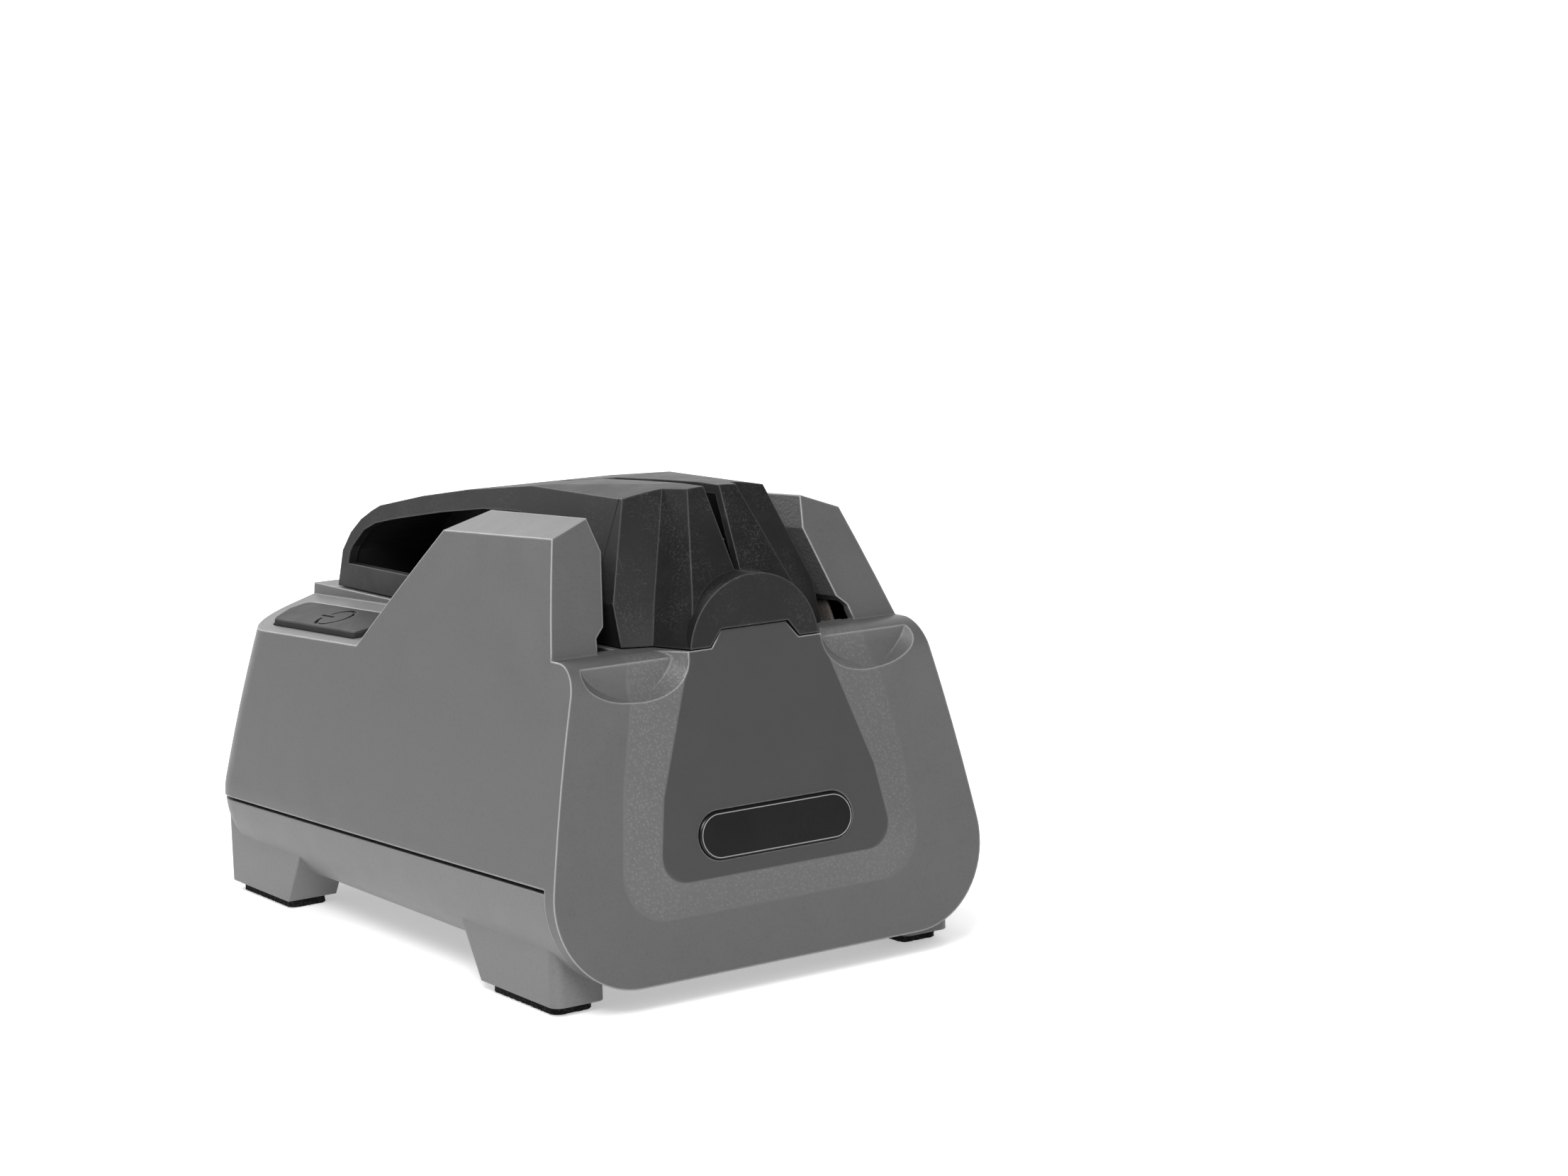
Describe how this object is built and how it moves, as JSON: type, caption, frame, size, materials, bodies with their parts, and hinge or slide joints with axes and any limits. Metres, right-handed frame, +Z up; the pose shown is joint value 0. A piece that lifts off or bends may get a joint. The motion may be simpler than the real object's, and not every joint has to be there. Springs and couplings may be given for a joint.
{
  "type": "electric knife sharpener",
  "caption": "Benchtop electric knife sharpener with two motor-driven abrasive discs, a lift-off knife guide with three slots and a press button.",
  "frame": {"origin": "on the table under the middle of the footprint's bounding box", "axes": "+Z up, +Y from the front panel to the back along the length, +X to the right seen from the front"},
  "size_m": [0.1142, 0.1753, 0.11],
  "materials": {
    "housing_grey": "fine spark texture",
    "lower_grey": "fine spark texture",
    "guide_black": "satin, worn light at the edges",
    "button_black": "satin",
    "badge_black": "gloss",
    "foam_black": "open foam",
    "inner_plastic": "moulded",
    "zinc_steel": "zinc plated",
    "motor_steel": "plain",
    "spring_steel": "drawn wire",
    "bronze": "sintered",
    "copper": "turned",
    "magnet_black": "ferrite",
    "carbon": "carbon",
    "abrasive": "coated abrasive",
    "ceramic_white": "fine ceramic",
    "board_green": "laminate",
    "board_black": "moulded"
  },
  "bodies": {
    "base": {"upper_housing": "housing_grey", "lower_housing": "lower_grey", "badge_plate": "badge_black", "foot_pads": "foam_black", "button_spring": "spring_steel", "power_switch": "board_black", "switch_bracket": "inner_plastic", "circuit_board": "board_green", "board_parts": "board_black", "board_screws": "zinc_steel", "power_inlet": "board_black", "housing_screws": "zinc_steel", "motor_can": "motor_steel", "motor_end_cap": "inner_plastic", "motor_bearings": "bronze", "motor_magnets": "magnet_black", "motor_brushes": "carbon", "brush_holders": "bronze", "chamber_liner_left": "inner_plastic", "chamber_liner_right": "inner_plastic", "motor_bracket": "inner_plastic", "motor_strap": "zinc_steel", "strap_screws": "zinc_steel"},
    "guide": {"knife_guide": "guide_black", "hone_rods": "ceramic_white", "rod_holder": "inner_plastic"},
    "button": {"power_button": "button_black"},
    "spindle": {"motor_shaft": "zinc_steel", "motor_armature": "motor_steel", "motor_commutator": "copper", "cooling_fan": "inner_plastic", "disc_hub_left": "inner_plastic", "disc_hub_right": "inner_plastic", "abrasive_disc_left": "abrasive", "abrasive_disc_right": "abrasive", "disc_nut_left": "zinc_steel", "disc_nut_right": "zinc_steel"}
  },
  "joints": [
    {"name": "guide_lift", "type": "slide", "parent": "base", "child": "guide", "axis": [0, 0, 1], "range_m": [0, 0.06]},
    {"name": "button_press", "type": "slide", "parent": "base", "child": "button", "axis": [0, 0, -1], "range_m": [0, 0.0018], "stiffness_N_per_m": 600, "springref_m": -0.001, "deforming": ["button_spring"]},
    {"name": "spindle_turn", "type": "hinge", "parent": "base", "child": "spindle", "pos_m": [0, -0.0328, 0.062], "axis": [1, 0, 0], "continuous": true}
  ]
}
